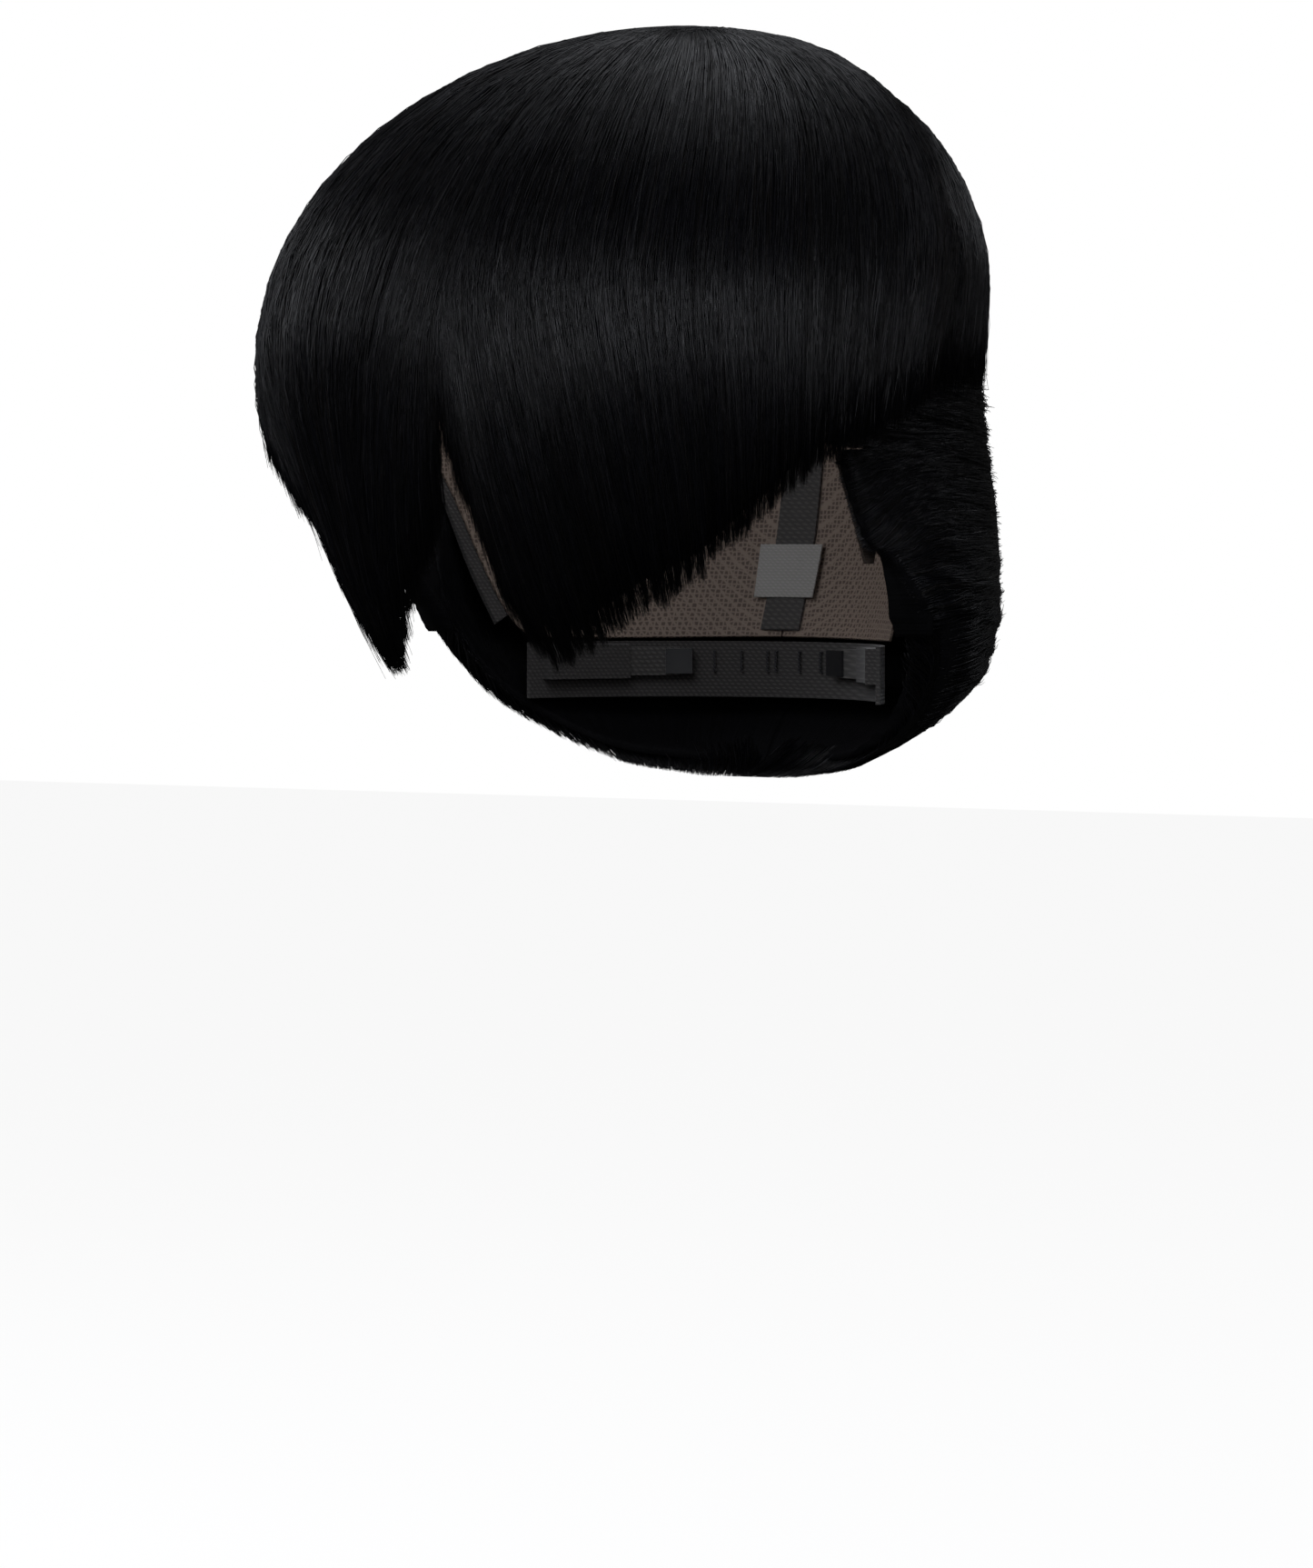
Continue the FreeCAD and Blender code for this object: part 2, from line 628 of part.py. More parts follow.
def main():
    os.makedirs("parts", exist_ok=True)
    save_pair("crown_net", net_half())
    save("crown_patch", disc(HEAD, PATCH_ANGLE, PATCH_LAYER))
    front_path = FRONT_BAND_PATH
    right_path = tuple((-180 - degrees, z) for degrees, z in reversed(front_path))
    save("front_band", strip_on_head(right_path + front_path[1:], FRONT_BAND_WIDTH, BAND_LAYER, 33))
    save_pair("ear_band", strip_on_head(EAR_BAND_PATH, EAR_BAND_WIDTH, BAND_LAYER, 25))
    for index, (z, start) in enumerate(WEFT_ROWS):
        save("weft_%d" % (index + 1), weft(z, start))
    save("centre_ribbon", centre_ribbon())
    save_pair("cross_ribbon", cross_ribbon())
    save("size_label", size_label())
    save("nape_band", nape_band())
    save_pair("adjuster_casing", adjuster_casing())
    save_pair("adjuster_loops", adjuster_loops())
    save_pair("adjuster_strap", adjuster_strap())
    save_pair("adjuster_hook", adjuster_hook())
    save("fringe_left", fringe(FRINGE_CUT_LEFT))
    save("fringe_right", mirrored(fringe(FRINGE_CUT_RIGHT)))
    save_pair("crown_back", crown_back())
    save("crown_whorl", disc(BOWL, WHORL_ANGLE - WHORL_GAP, (-HAIR_AT_CROWN, 0.0)))
    save_pair("side_hair", side_hair())
    save_pair("nape_hair", nape_hair())
    save_pair("ear_arch_hair", ear_arch_hair())
    save_pair("ear_tab", ear_tab())
    save_pair("ear_stay", ear_stay())
    save_pair("temple_hair", temple_hair())


main()
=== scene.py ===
import json
import math

import bpy
import numpy as np
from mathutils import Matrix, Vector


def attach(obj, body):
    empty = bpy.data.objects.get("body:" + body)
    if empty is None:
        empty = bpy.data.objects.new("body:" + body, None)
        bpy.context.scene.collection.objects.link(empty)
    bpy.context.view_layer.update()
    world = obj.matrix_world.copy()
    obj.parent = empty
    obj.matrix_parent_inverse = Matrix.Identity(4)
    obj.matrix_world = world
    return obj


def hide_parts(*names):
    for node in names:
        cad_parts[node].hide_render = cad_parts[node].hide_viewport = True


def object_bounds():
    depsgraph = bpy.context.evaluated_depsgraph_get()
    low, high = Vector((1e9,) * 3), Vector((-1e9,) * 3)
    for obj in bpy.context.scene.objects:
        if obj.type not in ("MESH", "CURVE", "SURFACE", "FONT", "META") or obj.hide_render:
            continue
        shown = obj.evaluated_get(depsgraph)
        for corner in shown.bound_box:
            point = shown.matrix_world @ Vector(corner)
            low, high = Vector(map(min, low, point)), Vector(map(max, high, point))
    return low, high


# Looks of the short costume wig. Lengths are in millimetres until a mesh is made, and angles in radians
# except in the outlines. Those of the fringe and the under layer pair a direction in degrees with a
# height, and LOCK_CUT pairs a distance towards the back with a height.
MM = 0.001

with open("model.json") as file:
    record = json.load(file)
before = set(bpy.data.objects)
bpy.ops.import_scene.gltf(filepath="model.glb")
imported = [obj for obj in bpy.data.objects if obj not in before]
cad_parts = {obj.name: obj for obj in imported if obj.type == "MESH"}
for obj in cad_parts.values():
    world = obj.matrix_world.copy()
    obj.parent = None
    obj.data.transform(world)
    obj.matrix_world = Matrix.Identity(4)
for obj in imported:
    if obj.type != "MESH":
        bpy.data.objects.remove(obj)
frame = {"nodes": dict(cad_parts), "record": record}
cad_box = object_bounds()

# Surfaces that the hair lies on, as in the design
HEAD_SHAPE = dict(half_width=75, front=92, back=94, top=114, level_front=30, level_back=40,
                  below=130, pole_y=16)
BOWL_SHAPE = dict(half_width=91, front=105, back=108, top=131, level_front=38, level_back=46,
                  below=126, pole_y=24)
WHORL_ANGLE = math.radians(6.0)
RIDGE_AT_WHORL = math.radians(26.0)
RIDGE_AT_RIM = math.radians(2.0)
BACK_STEP = 3.0
RIM_Z = 40.0
FRINGE_CUT_LEFT = ((-90, 19), (-85, 0), (-81, -20), (-77.5, -32), (-74, -36), (-69, -33.5), (-61, -25),
                   (-51, -16), (-46, -8), (-39, 2), (-32, 13), (-19, 23), (3, 36), (26, RIM_Z))
FRINGE_CUT_RIGHT = ((-90, 19), (-88.5, 0), (-85, -13), (-80, -23), (-75.5, -31), (-71, -38), (-67, -41),
                    (-64, -36), (-62.5, -20), (-60.5, -8), (-56, 0), (-48, 8), (-38, 17), (-19, 25),
                    (3, 36), (26, RIM_Z))
UNDER_HALF_WIDTH = 86.0
UNDER_BACK = 105.0
UNDER_PLAN_POWER = 2.4
UNDER_WIDEST_Z = -15.0
UNDER_DEPTH_BELOW = 62.7
UNDER_SHIFT_BACK = 16.0
UNDER_TOP_Z = 44.0
UNDER_TOP_SCALE = 0.95
UNDER_CUT = ((0, -20), (8, -24), (14, -36), (20, -50), (32, -61), (46, -68), (66, -71), (90, -73))
SWEEP_START = math.radians(-21.0)
SWEEP_END = math.radians(22.0)
UNDER_LOWEST_Z = -71.5
UNDER_THICKNESS = 10.0
UNDER_AT_CUT = 3.0
UNDER_CLEARANCE = 3.4
ARCH_BOTTOM_Z = 18.8
LOCK_CUT = ((-27, 13), (-21, 3), (-14, -7), (-3, -12), (6, -22), (13.6, -34))
LOCK_TOP_Z = 17.4
LOCK_END = math.radians(9.3)
LOCK_RADIUS = 80.0

# How far, in degrees, fibres of the fringe lean towards the tips on their way down, by where they end
LEAN_LEFT = ((-90, 0), (-85, 4), (-80, 9), (-74, 12), (-60, 11), (-40, 5), (-19, 0), (26, 0))
LEAN_RIGHT = ((-90, 0), (-85, 3), (-80, 6), (-75, 8), (-71, 6), (-67, 0), (-64, -8), (-60, -11),
              (-50, -8), (-38, -4), (-19, 0), (26, 0))
LEAN_START = 1.30

# Fibres
FIBRE_WIDTH = 0.30
FIBRE_IOR = 1.33
FIBRES_PER_PIECE = 2800
FULLNESS = 0.8
WHORL_DIP = 2.2
RIM_TUCK = 3.6
RIM_DEPTH = 9.0
RIM_RAGGED = 5.0
FRINGE_FIBRES = 3 * FIBRES_PER_PIECE
BACK_FIBRES = 2 * FIBRES_PER_PIECE
SIDE_FIBRES = 5600
NAPE_FIBRES = 4200
LINING_FIBRES = 2400
ARCH_FIBRES = 1500
WHORL_FIBRES = 1600
LOCK_FIBRES = 2200
LONG_STEPS = 12
SHORT_STEPS = 8
SHADE_SHARES = (0.34, 0.26, 0.18, 0.12, 0.10)
WHORL_SHARE = 0.35
ROOTS_FROM = 0.10
ROOTS_TO = 1.25
CLUMP_WIDTH = 0.030
CREASE_DEPTH = 3.0
CHEEK_TUCK = 4.2
FRINGE_MASS_SINK = 1.3
BACK_MASS_SINK = 1.0
UNDER_MASS_SINK = 1.0
MASS_ABOVE_CUT = 4.0
TOP_HAIR_DEPTH = 12.0
SIDE_HAIR_DEPTH = 6.0
RIM_HAIR_DEPTH = 2.0

# One wave of the wave texture at scale 1, in its own units
WAVE_PERIOD = math.pi / 10

# Stage, lights and camera: lengths in metres, angles in degrees, power in watts, the lens in millimetres
FLOOR_DROP = 0.35
FLOOR_HALF = 6.0
FLOOR_GLOW = 0.93
WORLD_SEEN = 1.0
WORLD_LIGHT = 0.04
LIGHT_COLOUR = (0.92, 0.94, 1.0)
LIGHT_AIM = (0.0, 0.0, 0.03)
SOFTBOXES = (
    # name, azimuth, elevation, distance, width, height, power
    ("front_softbox", 22.0, 20.0, 1.6, 0.7, 1.0, 12.5),
    ("top_softbox", 30.0, 108.0, 1.2, 0.7, 0.7, 1.0),
    ("left_softbox", -50.0, 30.0, 1.6, 0.6, 1.0, 6.5),
    ("right_softbox", 74.0, 22.0, 1.6, 0.5, 1.0, 3.8),
    ("back_left_softbox", 150.0, 30.0, 1.6, 0.7, 0.7, 2.6),
    ("back_right_softbox", 266.0, 25.0, 1.6, 0.8, 1.0, 9.0),
    ("back_softbox", 205.0, 48.0, 1.6, 0.8, 0.8, 1.6),
)
CAMERA_AZIMUTH = 30.0
CAMERA_DISTANCE = 1.5
CAMERA_ASIDE = 0.004
CAMERA_AIM_DROP = 0.0712
CAMERA_LENS = 128.8


def ease(t):
    """Smooth step from 0 to 1."""
    t = np.clip(t, 0.0, 1.0)
    return t * t * (3.0 - 2.0 * t)


def between(low, high, t):
    return low + (high - low) * t


def follow(outline, x):
    """Height of an outline at x, smooth through its points."""
    xs, ys = np.array(outline, float).T
    slopes = np.empty_like(ys)
    slopes[1:-1] = (ys[2:] - ys[:-2]) / (xs[2:] - xs[:-2])
    slopes[0] = (ys[1] - ys[0]) / (xs[1] - xs[0])
    slopes[-1] = (ys[-1] - ys[-2]) / (xs[-1] - xs[-2])
    x = np.clip(x, xs[0], xs[-1])
    i = np.clip(np.searchsorted(xs, x, side="right") - 1, 0, len(xs) - 2)
    span = xs[i + 1] - xs[i]
    t = (x - xs[i]) / span
    rise = 3 * t ** 2 - 2 * t ** 3
    return (ys[i] + (ys[i + 1] - ys[i]) * rise + span * slopes[i] * (t ** 3 - 2 * t ** 2 + t)
            + span * slopes[i + 1] * (t ** 3 - t ** 2))


class Dome:
    """The design's dome, for whole arrays of directions and angles at once."""

    def __init__(self, half_width, front, back, top, level_front, level_back, below, pole_y):
        self.half_width, self.front, self.back, self.top = half_width, front, back, top
        self.level_front, self.level_back, self.below, self.pole_y = level_front, level_back, below, pole_y

    def level(self, phi):
        """Height where the dome is widest."""
        return between(self.level_front, self.level_back, 0.5 * (1 + np.sin(phi)))

    def power(self, phi):
        return between(2.0, 2.3, 0.5 * (1 + np.sin(phi)))

    def beta_at(self, phi, z):
        """Angle down from the pole at a height."""
        level, power = self.level(phi), self.power(phi)
        rise = np.clip((z - level) / (self.top - level), 0.0, 1.0)
        drop = np.clip((level - z) / self.below, 0.0, 1.0)
        upper = np.arctan2((1 - rise ** power) ** (1 / power), rise)
        lower = np.arctan2(np.sqrt(1 - drop ** 2), -drop)
        return np.where(z > level, upper, lower)

    def point(self, phi, beta, offset=0.0):
        ahead = np.sin(phi) < 0
        plan_power = np.where(ahead, 2.4, 1.98)
        reach = np.where(ahead, self.front, self.back) + offset
        plan = ((np.abs(np.cos(phi)) / (self.half_width + offset)) ** plan_power
                + (np.abs(np.sin(phi)) / reach) ** plan_power) ** (-1 / plan_power)
        level, above = self.level(phi), np.cos(beta) > 0
        power = np.where(above, self.power(phi), 2.0)
        height = np.where(above, self.top + offset - level, self.below + offset)
        sine, cosine = np.abs(np.sin(beta)), np.abs(np.cos(beta))
        scale = (sine ** power + cosine ** power) ** (-1 / power)
        centre_y = self.pole_y * np.where(above, np.cos(beta) ** 2, 0.0)
        radius = plan * scale * sine
        return np.stack([radius * np.cos(phi), centre_y + radius * np.sin(phi),
                         level + height * scale * np.cos(beta)], axis=-1)

    def radius(self, phi, z, offset=0.0):
        place = self.point(phi, self.beta_at(phi, z), offset)
        return np.hypot(place[..., 0], place[..., 1])


HEAD = Dome(**HEAD_SHAPE)
BOWL = Dome(**BOWL_SHAPE)


def ripple(x, seed, low, high, waves=7):
    """Smooth random wave along x, about -1 to 1; low and high are its slowest and fastest rates."""
    random = np.random.default_rng(seed)
    total = np.zeros_like(x)
    for rate in np.geomspace(low, high, waves):
        total += np.sin(x * rate * random.uniform(0.8, 1.25) + random.uniform(0, 2 * math.pi))
    return total / math.sqrt(waves)


# ---------------------------------------------------------------- materials

def new_material(name, colour, roughness, specular=0.3, ior=1.5):
    material = bpy.data.materials.new(name)
    material.use_nodes = True
    shader = material.node_tree.nodes["Principled BSDF"]
    shader.inputs["Base Color"].default_value = (*colour, 1.0)
    shader.inputs["Roughness"].default_value = roughness
    shader.inputs["Specular IOR Level"].default_value = specular
    shader.inputs["IOR"].default_value = ior
    return material, shader


def add_node(material, kind, inputs=None, **settings):
    node = material.node_tree.nodes.new(kind)
    for key, value in settings.items():
        setattr(node, key, value)
    for key, value in (inputs or {}).items():
        node.inputs[key].default_value = value
    return node


def link(material, source, target):
    material.node_tree.links.new(source, target)


def fibre_materials():
    """Near-black synthetic fibres; each fibre takes one of these shades."""
    shades = {
        "fibre_black": ((0.0022, 0.0022, 0.0027), 0.34, 0.40),
        "fibre_blue_black": ((0.0026, 0.0027, 0.0042), 0.31, 0.60),
        "fibre_soft_black": ((0.0036, 0.0035, 0.0038), 0.40, 0.32),
        "fibre_grey": ((0.0072, 0.0071, 0.0084), 0.36, 0.75),
        "fibre_brown_black": ((0.0042, 0.0034, 0.0032), 0.38, 0.40),
    }
    return [new_material(name, *values, ior=FIBRE_IOR)[0] for name, values in shades.items()]


def streaked_hair():
    """Hair seen in the mass: fine streaks along the fibres, from the piece's own flow map."""
    material, shader = new_material("hair_mass", (0.003, 0.003, 0.004), 0.5, 0.15, FIBRE_IOR)
    flow = add_node(material, "ShaderNodeUVMap", uv_map="flow")
    stretch = add_node(material, "ShaderNodeMapping", {"Scale": (1.0, 0.035, 1.0)})
    fine = add_node(material, "ShaderNodeTexNoise", {"Scale": 2.6, "Detail": 4.0, "Roughness": 0.7})
    locks = add_node(material, "ShaderNodeTexNoise", {"Scale": 0.35, "Detail": 2.0})
    tint = add_node(material, "ShaderNodeValToRGB")
    tint.color_ramp.elements[0].color = (0.0008, 0.0008, 0.0010, 1)
    tint.color_ramp.elements[1].color = (0.0050, 0.0050, 0.0062, 1)
    tint.color_ramp.elements[0].position = 0.32
    tint.color_ramp.elements[1].position = 0.72
    gloss = add_node(material, "ShaderNodeMapRange", {"To Min": 0.50, "To Max": 0.72})
    ridges = add_node(material, "ShaderNodeBump", {"Strength": 0.55, "Distance": 0.0006})
    link(material, flow.outputs["UV"], stretch.inputs["Vector"])
    for noise in (fine, locks):
        link(material, stretch.outputs["Vector"], noise.inputs["Vector"])
    link(material, fine.outputs["Fac"], tint.inputs["Fac"])
    link(material, tint.outputs["Color"], shader.inputs["Base Color"])
    link(material, locks.outputs["Fac"], gloss.inputs["Value"])
    link(material, gloss.outputs["Result"], shader.inputs["Roughness"])
    link(material, fine.outputs["Fac"], ridges.inputs["Height"])
    link(material, ridges.outputs["Normal"], shader.inputs["Normal"])
    return material


def woven_cloth(name, dark, light, pitch, roughness, sheen=0.2):
    """Woven cloth: two crossing sets of threads, pitch millimetres apart."""
    material, shader = new_material(name, light, roughness, 0.25)
    shader.inputs["Sheen Weight"].default_value = sheen
    place = add_node(material, "ShaderNodeTexCoord")
    rate = WAVE_PERIOD / (pitch * MM)
    waves = []
    for direction in ("Z", "DIAGONAL"):
        wave = add_node(material, "ShaderNodeTexWave", {"Scale": rate, "Distortion": 0.6,
                                                        "Detail": 1.0}, bands_direction=direction)
        link(material, place.outputs["Object"], wave.inputs["Vector"])
        waves.append(wave)
    crossing = add_node(material, "ShaderNodeMath", operation="MULTIPLY")
    tint = add_node(material, "ShaderNodeValToRGB")
    tint.color_ramp.elements[0].color = (*dark, 1)
    tint.color_ramp.elements[1].color = (*light, 1)
    bump = add_node(material, "ShaderNodeBump", {"Strength": 0.6, "Distance": 0.0003})
    link(material, waves[0].outputs["Fac"], crossing.inputs[0])
    link(material, waves[1].outputs["Fac"], crossing.inputs[1])
    link(material, crossing.outputs["Value"], tint.inputs["Fac"])
    link(material, tint.outputs["Color"], shader.inputs["Base Color"])
    link(material, crossing.outputs["Value"], bump.inputs["Height"])
    link(material, bump.outputs["Normal"], shader.inputs["Normal"])
    return material


def netting(name, thread, gap, pitch, roughness):
    """Fine net: threads round small cells, pitch millimetres across."""
    material, shader = new_material(name, thread, roughness, 0.25)
    place = add_node(material, "ShaderNodeTexCoord")
    cells = add_node(material, "ShaderNodeTexVoronoi", {"Scale": 1.0 / (pitch * MM), "Randomness": 0.25},
                     feature="DISTANCE_TO_EDGE")
    tint = add_node(material, "ShaderNodeValToRGB")
    tint.color_ramp.elements[0].color = (*thread, 1)
    tint.color_ramp.elements[1].color = (*gap, 1)
    tint.color_ramp.elements[0].position = 0.10
    tint.color_ramp.elements[1].position = 0.22
    bump = add_node(material, "ShaderNodeBump", {"Strength": 0.8, "Distance": 0.0004}, invert=True)
    link(material, place.outputs["Object"], cells.inputs["Vector"])
    link(material, cells.outputs["Distance"], tint.inputs["Fac"])
    link(material, tint.outputs["Color"], shader.inputs["Base Color"])
    link(material, cells.outputs["Distance"], bump.inputs["Height"])
    link(material, bump.outputs["Normal"], shader.inputs["Normal"])
    return material


def moulded_plastic(name, colour, roughness):
    material, shader = new_material(name, colour, roughness, 0.5)
    place = add_node(material, "ShaderNodeTexCoord")
    grain = add_node(material, "ShaderNodeTexNoise", {"Scale": 900.0, "Detail": 3.0})
    gloss = add_node(material, "ShaderNodeMapRange", {"To Min": roughness - 0.1, "To Max": roughness + 0.12})
    bump = add_node(material, "ShaderNodeBump", {"Strength": 0.15, "Distance": 0.0001})
    link(material, place.outputs["Object"], grain.inputs["Vector"])
    link(material, grain.outputs["Fac"], gloss.inputs["Value"])
    link(material, gloss.outputs["Result"], shader.inputs["Roughness"])
    link(material, grain.outputs["Fac"], bump.inputs["Height"])
    link(material, bump.outputs["Normal"], shader.inputs["Normal"])
    return material


def dress_cap():
    """Gives every carried-over node of the cap its material, by the record's slots."""
    looks = {
        "net": netting("cap_net", (0.20, 0.155, 0.125), (0.085, 0.064, 0.052), 1.3, 0.7),
        "skin_patch": netting("crown_mesh", (0.42, 0.29, 0.21), (0.26, 0.17, 0.12), 0.8, 0.75),
        "band": woven_cloth("edge_band_cloth", (0.028, 0.026, 0.025), (0.060, 0.056, 0.053), 1.0, 0.75),
        "weft": woven_cloth("weft_stitching", (0.008, 0.008, 0.009), (0.040, 0.039, 0.040), 1.2, 0.6),
        "elastic": woven_cloth("ribbed_elastic", (0.035, 0.033, 0.031), (0.075, 0.070, 0.066), 1.2, 0.6),
        "label": woven_cloth("label_satin", (0.24, 0.235, 0.22), (0.32, 0.31, 0.30), 0.8, 0.45),
        "thread": woven_cloth("loop_thread", (0.006, 0.006, 0.007), (0.030, 0.030, 0.034), 0.5, 0.6),
        "hook": moulded_plastic("hook_plastic", (0.012, 0.012, 0.013), 0.32),
        "lace": netting("ear_tab_lace", (0.075, 0.058, 0.047), (0.035, 0.027, 0.022), 0.8, 0.7),
        "stay": moulded_plastic("stay_sleeve", (0.030, 0.028, 0.027), 0.5),
    }
    for part in frame["record"]["subparts"]:
        look = looks.get(part["material_slot"])
        if look:
            slots = frame["nodes"][part["node"]].data.materials
            slots.clear()
            slots.append(look)


# ---------------------------------------------------------------- meshes

def add_mesh(name, vertices, faces):
    mesh = bpy.data.meshes.new(name)
    mesh.from_pydata(vertices * MM, [], faces)
    mesh.shade_smooth()
    piece = bpy.data.objects.new(name, mesh)
    bpy.context.scene.collection.objects.link(piece)
    return piece


def fibre_piece(name, paths, widths, seed, materials):
    """Fibres as closed three-sided tubes. paths is fibre by step by xyz, widths one for each fibre."""
    count, steps, _ = paths.shape
    along = np.gradient(paths, axis=1)
    along /= np.linalg.norm(along, axis=2, keepdims=True)
    outward = paths - np.array([0.0, 0.0, 20.0])
    aside = np.cross(along, outward)
    aside /= np.linalg.norm(aside, axis=2, keepdims=True)
    lift = np.cross(aside, along)
    t = np.linspace(0, 1, steps)
    taper = np.minimum(1.0, 0.4 + 4 * t) * (1.0 - 0.75 * t ** 5)
    radius = 0.5 * widths[:, None] * taper[None, :]
    turns = np.arange(3) * 2 * math.pi / 3
    ring = (np.cos(turns)[:, None] * lift[:, :, None, :] + np.sin(turns)[:, None] * aside[:, :, None, :])
    vertices = paths[:, :, None, :] + radius[:, :, None, None] * ring
    corner = np.arange(3)
    after = (corner + 1) % 3
    low = (np.arange(steps - 1) * 3)[:, None]
    sides = np.concatenate([
        np.stack([low + corner, low + after, low + 3 + after], axis=-1).reshape(-1, 3),
        np.stack([low + corner, low + 3 + after, low + 3 + corner], axis=-1).reshape(-1, 3)])
    tip = (steps - 1) * 3
    one = np.concatenate([sides, [[0, 2, 1], [tip, tip + 1, tip + 2]]])
    faces = (one[None, :, :] + (np.arange(count) * steps * 3)[:, None, None]).reshape(-1, 3)
    piece = add_mesh(name, vertices.reshape(-1, 3), faces[:, ::-1])
    for material in materials:
        piece.data.materials.append(material)
    random = np.random.default_rng(seed)
    shade = random.choice(len(materials), size=count, p=SHADE_SHARES)
    piece.data.polygons.foreach_set("material_index", np.repeat(shade, len(one)).astype(np.int32))
    return piece


def mass_piece(name, point, columns, rows, material):
    """Closed mass between point(u, v, 0) and point(u, v, 1), with a map that runs along the fibres."""
    u, v = np.meshgrid(np.linspace(0, 1, columns), np.linspace(0, 1, rows), indexing="ij")
    inner, outer = point(u, v, 0), point(u, v, 1)
    vertices = np.concatenate([inner.reshape(-1, 3), outer.reshape(-1, 3)])
    number = np.arange(columns * rows).reshape(columns, rows)
    a, b, c, d = number[:-1, :-1], number[1:, :-1], number[1:, 1:], number[:-1, 1:]
    sheet = np.stack([a, b, c, d], axis=-1).reshape(-1, 4)
    faces = [sheet, sheet[:, ::-1] + columns * rows]
    for edge, flip in ((number[:, 0], 1), (number[:, -1], -1), (number[0, :], -1), (number[-1, :], 1)):
        beyond = edge + columns * rows
        strip = np.stack([edge[:-1], beyond[:-1], beyond[1:], edge[1:]], axis=-1)
        faces.append(strip[:, ::flip])
    piece = add_mesh(name, vertices, np.concatenate(faces))
    across = np.linalg.norm(np.diff(outer[:, rows // 2], axis=0), axis=1).sum()
    down = np.linalg.norm(np.diff(outer[columns // 2], axis=0), axis=1).sum()
    flow = piece.data.uv_layers.new(name="flow")
    corners = np.empty(len(piece.data.loops), dtype=np.int32)
    piece.data.loops.foreach_get("vertex_index", corners)
    corners %= columns * rows
    uv = np.stack([u.ravel()[corners] * across, v.ravel()[corners] * down], axis=-1)
    flow.data.foreach_set("uv", uv.ravel())
    piece.data.materials.append(material)
    return piece


def mirror(points):
    return points * np.array([-1.0, 1.0, 1.0])


# ---------------------------------------------------------------- top layer

def ridge_angle(beta):
    """Direction of the ridge that ends the fringe sector, at an angle down from the whorl."""
    return between(RIDGE_AT_WHORL, RIDGE_AT_RIM, (beta - WHORL_ANGLE) / (math.pi / 2 - WHORL_ANGLE))


def fringe_place(u, v, cut):
    """Direction and angle at u, v in the fringe: u from the crease to the ridge, v down to the cut."""
    beta = between(WHORL_ANGLE, math.pi / 2, v)
    for _ in range(6):
        phi = between(-math.pi / 2 + 0.003, ridge_angle(beta), u)
        beta = between(WHORL_ANGLE, BOWL.beta_at(phi, follow(cut, np.degrees(phi))), v)
    return phi, beta


def back_place(u, v):
    """Direction and angle at u, v behind the ridge: u from the ridge to the back, v down to the rim."""
    beta = between(WHORL_ANGLE, math.pi / 2, v)
    for _ in range(6):
        phi = between(ridge_angle(beta) + 0.005, math.pi / 2 - 0.003, u)
        beta = between(WHORL_ANGLE, BOWL.beta_at(phi, RIM_Z), v)
    return phi, beta


def lock_relief(phi, beta, seed):
    """How far out the surface of the hair stands from its even shape, lock by lock."""
    spread = np.sin(np.minimum(beta, math.pi / 2))
    drift = 0.05 * ripple(beta * 2.0, seed + 5, 1, 3, 3)
    return spread * (0.40 * ripple(phi + drift, seed, 18, 60) + 0.28 * ripple(phi + drift, seed + 1, 80, 260))


def rim_tuck(phi, beta):
    """The top layer's ends lean in over the under layer from the temple round to the back."""
    rim = BOWL.beta_at(phi, RIM_Z)
    return -RIM_TUCK * ease((beta - rim + 0.42) / 0.5) * ease((phi + 0.5) / 0.5)


def crease(phi, beta):
    """Groove down the middle of the face, which opens towards the notch."""
    width = between(0.025, 0.07, ease((beta - 0.5) / 1.2))
    return -CREASE_DEPTH * np.exp(-((phi + math.pi / 2) / width) ** 2) * ease((beta - 0.35) / 0.8)


def fringe_offset(phi, beta, side, seed):
    """The fringe bows out over its ridge edge, sinks at the crease and tucks in on the right cheek."""
    edge = ridge_angle(beta) - phi
    tuck = -CHEEK_TUCK * ease((beta - 1.58) / 0.35) * ease((phi + 1.45) / 0.35) if side == "right" else 0.0
    return (FULLNESS + lock_relief(phi, beta, seed) + crease(phi, beta) + rim_tuck(phi, beta) + tuck
            - 0.7 * np.exp(-(edge / 0.03) ** 2))


def back_offset(phi, beta, seed):
    """The back steps down behind the ridge and comes out again further round."""
    past = phi - ridge_angle(beta)
    step = BACK_STEP * ease(beta * 2) * np.exp(-(past / 0.45) ** 2)
    return lock_relief(phi, beta, seed) + rim_tuck(phi, beta) - step


def hair_depth(z, cut_z):
    """Thickness of the top layer, thin at the cut and thickest on top."""
    depth = between(SIDE_HAIR_DEPTH, TOP_HAIR_DEPTH, ease((z - 50.0) / 50.0))
    return between(RIM_HAIR_DEPTH, depth, ease((z - cut_z) / 25.0))


def whorl_mass(material):
    """Small dished mass that closes the top, where all the fibres start."""
    def point(u, v, outer):
        across, along = 2 * u - 1, 2 * v - 1
        x = across * np.sqrt(1 - along ** 2 / 2)
        y = along * np.sqrt(1 - across ** 2 / 2)
        beta = (WHORL_ANGLE + 0.02) * np.hypot(x, y)
        return BOWL.point(np.arctan2(y, x), beta, -WHORL_DIP if outer else -TOP_HAIR_DEPTH)

    return mass_piece("whorl_mass", point, 13, 13, material)


